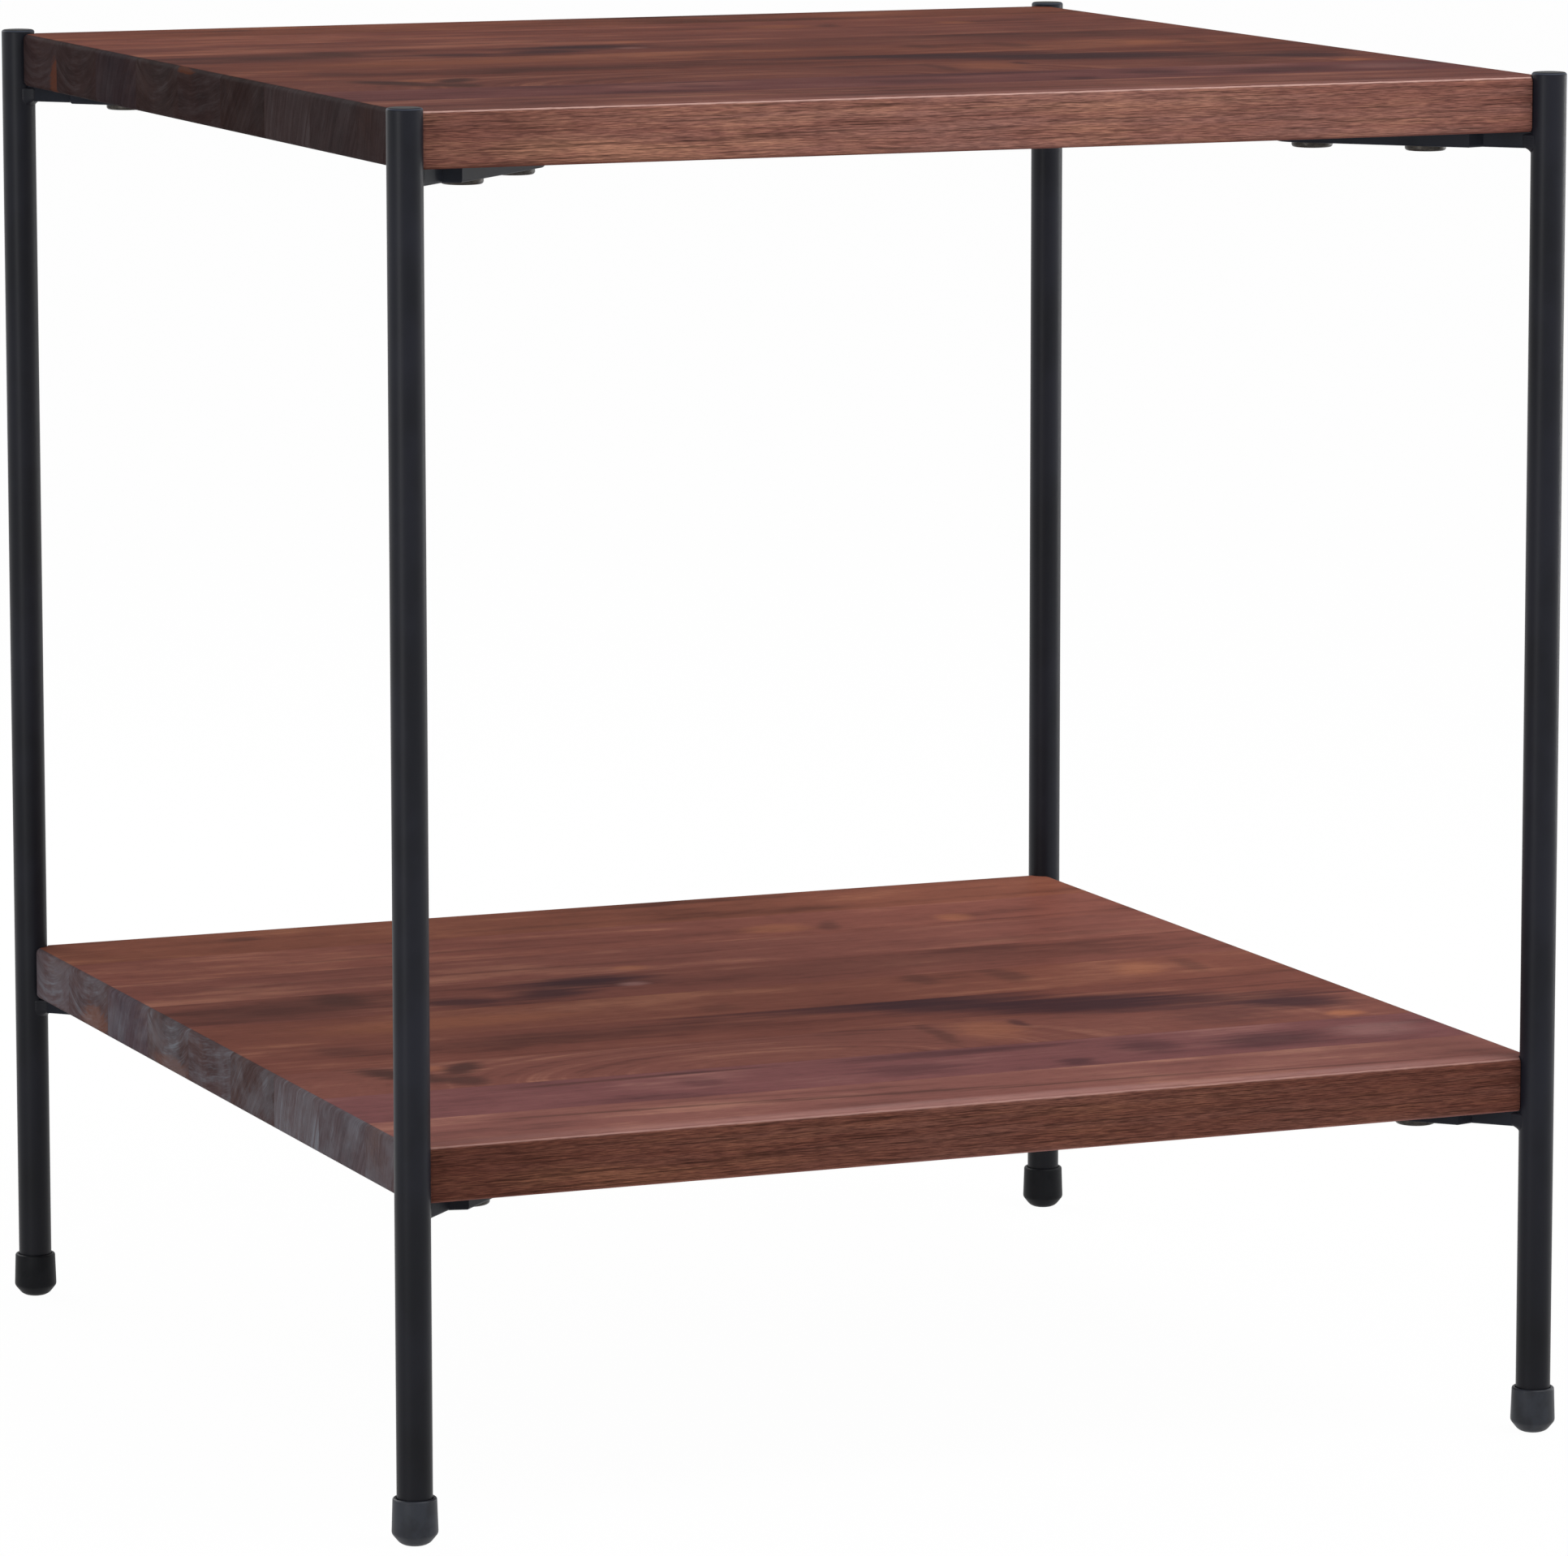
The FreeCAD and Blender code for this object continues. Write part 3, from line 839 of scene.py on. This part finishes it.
def weldStation(along, length, low, high, legRadius):
    # the matrix that sets the cross-section at one place on the bead, in the arm's own frame
    look = weldLook
    near = min(along, length - along)
    side = high - low - look["corner"]
    arc = look["corner"] * math.pi / 2
    turn = min(max((near - side) / arc, 0.0), 1.0) * math.pi / 2
    y = look["neckHalf"] - look["corner"] * (1 - math.cos(turn)) - max(near - side - arc, 0.0)
    z = low + look["corner"] * (1 - math.sin(turn)) + max(side - near, 0.0)
    x = math.sqrt(legRadius ** 2 - y ** 2)
    under = turn / (math.pi / 2)
    tip = min(near / look["taper"], 1.0)
    ends = math.sqrt(tip * (2 - tip) * (1 - look["endShare"]) + look["endShare"])
    size = ends * (1 + look["ripple"] * math.cos(along / look["ripplePitch"] * 2 * math.pi))
    reach = size * (look["sideReach"] * (1 - under) + look["underReach"] * under)
    spread = size * (look["sideSpread"] * (1 - under) + look["underSpread"] * under)
    lean = size * look["sideLean"] * (1 - under)
    mirrored = 1 if along < length / 2 else -1
    acrossY, acrossZ = math.cos(turn) * mirrored, -math.sin(turn)
    return Matrix(((reach, -lean, 0, x),
                   (0, spread * acrossY, acrossZ * mirrored, y * mirrored),
                   (0, spread * acrossZ, -acrossY * mirrored, z),
                   (0, 0, 0, 1)))


def weldBead(mesh, corner, tier):
    low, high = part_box(corner + "_" + tier + "_bracket")
    centre, legRadius = legAxis(corner)
    top = high.z - weldLook["topGap"]
    side = top - low.z - weldLook["corner"]
    under = 2 * (weldLook["neckHalf"] - weldLook["corner"])
    length = 2 * side + math.pi * weldLook["corner"] + under
    steps = round(length / weldLook["step"])
    before = weldStation(0, length, low.z, top, legRadius)
    ring = [mesh.verts.new(before @ Vector((a, b, 0))) for a, b in weldProfile()]
    made = list(ring)
    edges = list(mesh.faces.new(ring).edges)
    for k in range(1, steps + 1):
        after = weldStation(length * k / steps, length, low.z, top, legRadius)
        grown = bmesh.ops.extrude_edge_only(mesh, edges=edges)["geom"]
        ring = [item for item in grown if isinstance(item, bmesh.types.BMVert)]
        edges = [item for item in grown if isinstance(item, bmesh.types.BMEdge)
                 and item.verts[0] in ring and item.verts[1] in ring]
        bmesh.ops.transform(mesh, matrix=after @ before.inverted(), verts=ring)
        made += ring
        before = after
    bmesh.ops.contextual_create(mesh, geom=edges)
    turn = math.atan2(-centre.y, -centre.x)
    place = Matrix.Translation((centre.x, centre.y, 0)) @ Matrix.Rotation(turn, 4, "Z")
    bmesh.ops.transform(mesh, matrix=place, verts=made)


for corner in corners:
    mesh = bmesh.new()
    for tier in tiers:
        weldBead(mesh, corner, tier)
    bmesh.ops.recalc_face_normals(mesh, faces=mesh.faces)
    welds = finishPiece(mesh, corner + "_weld_beads", steel)
    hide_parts(corner + "_welds")
print("welds made")


# studio: pale floor, soft lamps, white surroundings

studio = {
    "floorSize": 30.0,
    "floorColour": (0.86, 0.86, 0.86, 1.0),
    "floorGlow": 0.98,
    "ambient": 0.55,
}
lamps = {
    # place, aim, width and height, power in watts
    "key": ((0.75, -0.85, 1.9), (0, -0.1, 0.35), (0.9, 0.9), 22),
    "leftStrip": ((-1.55, -1.0, 0.45), (0, 0, 0.2), (0.35, 1.3), 9),
    "rightStrip": ((1.75, 0.25, 0.5), (0, 0, 0.25), (0.35, 1.3), 8),
    "rightSoft": ((1.5, -0.75, 0.5), (0, 0, 0.25), (1.2, 1.3), 3),
    "backFill": ((-0.7, 1.5, 1.1), (0, 0.1, 0.15), (1.0, 0.8), 14),
}


def seenRays(tree):
    # 1 where the surroundings are seen, straight, mirrored or through something
    path = addNode(tree, "LightPath")
    seen = doMath(tree, "MAXIMUM", path.outputs["Is Camera Ray"], path.outputs["Is Glossy Ray"])
    return doMath(tree, "MAXIMUM", seen, path.outputs["Is Transmission Ray"])


def studioWorld():
    world = bpy.data.worlds.new("studio")
    bpy.context.scene.world = world
    world.use_nodes = True
    tree = world.node_tree
    background = tree.nodes["Background"]
    inputs = {0: seenRays(tree), 1: 0.0, 2: 1.0, 3: studio["ambient"], 4: 1.0}
    strength = addNode(tree, "MapRange", inputs).outputs[0]
    background.inputs["Color"].default_value = white
    tree.links.new(strength, background.inputs["Strength"])


def studioFloor():
    mesh = bmesh.new()
    bmesh.ops.create_grid(mesh, x_segments=1, y_segments=1, size=studio["floorSize"] / 2)
    made = bpy.data.meshes.new("floor")
    mesh.to_mesh(made)
    mesh.free()
    floor = bpy.data.objects.new("floor", made)
    bpy.context.scene.collection.objects.link(floor)
    material = bpy.data.materials.new("pale_floor")
    material.use_nodes = True
    tree = material.node_tree
    tree.nodes.clear()
    matt = addNode(tree, "BsdfDiffuse", {"Color": studio["floorColour"]})
    glow = addNode(tree, "Emission", {"Color": white, "Strength": 1.0})
    share = multiply(tree, seenRays(tree), studio["floorGlow"])
    mixed = addNode(tree, "MixShader", {0: share, 1: matt.outputs[0], 2: glow.outputs[0]})
    addNode(tree, "OutputMaterial", {"Surface": mixed.outputs[0]})
    made.materials.append(material)


def areaLamp(name, place, aim, size, power):
    data = bpy.data.lights.new(name, "AREA")
    data.shape = "RECTANGLE"
    data.size, data.size_y = size
    data.energy = power
    lamp = bpy.data.objects.new(name, data)
    bpy.context.scene.collection.objects.link(lamp)
    lamp.location = place
    lamp.rotation_mode = "QUATERNION"
    lamp.rotation_quaternion = (Vector(aim) - Vector(place)).to_track_quat("-Z", "Y")


studioWorld()
studioFloor()
for name, lampLook in lamps.items():
    areaLamp(name, *lampLook)
print("studio set")


# camera, at the photograph's viewing angle

cameraLook = {
    "azimuth": -22.887,
    "elevation": 8.359,
    "place": (-1.1819, -2.8725, 0.7113),
    "lens": 190.9,
    "sensor": 36.0,
    "shift": (-0.0300, -0.0500),
    "clip": (0.05, 60.0),
}


def placeCamera():
    data = bpy.data.cameras.new("camera")
    data.sensor_fit = "HORIZONTAL"
    data.sensor_width = cameraLook["sensor"]
    data.lens = cameraLook["lens"]
    data.shift_x, data.shift_y = cameraLook["shift"]
    data.clip_start, data.clip_end = cameraLook["clip"]
    camera = bpy.data.objects.new("camera", data)
    bpy.context.scene.collection.objects.link(camera)
    azimuth, elevation = math.radians(cameraLook["azimuth"]), math.radians(cameraLook["elevation"])
    level = math.cos(elevation)
    back = Vector((math.sin(azimuth) * level, -math.cos(azimuth) * level, math.sin(elevation)))
    camera.location = cameraLook["place"]
    camera.rotation_mode = "QUATERNION"
    camera.rotation_quaternion = (-back).to_track_quat("-Z", "Y")
    bpy.context.scene.camera = camera


placeCamera()
bpy.context.scene.view_settings.view_transform = "Standard"
print("camera placed")
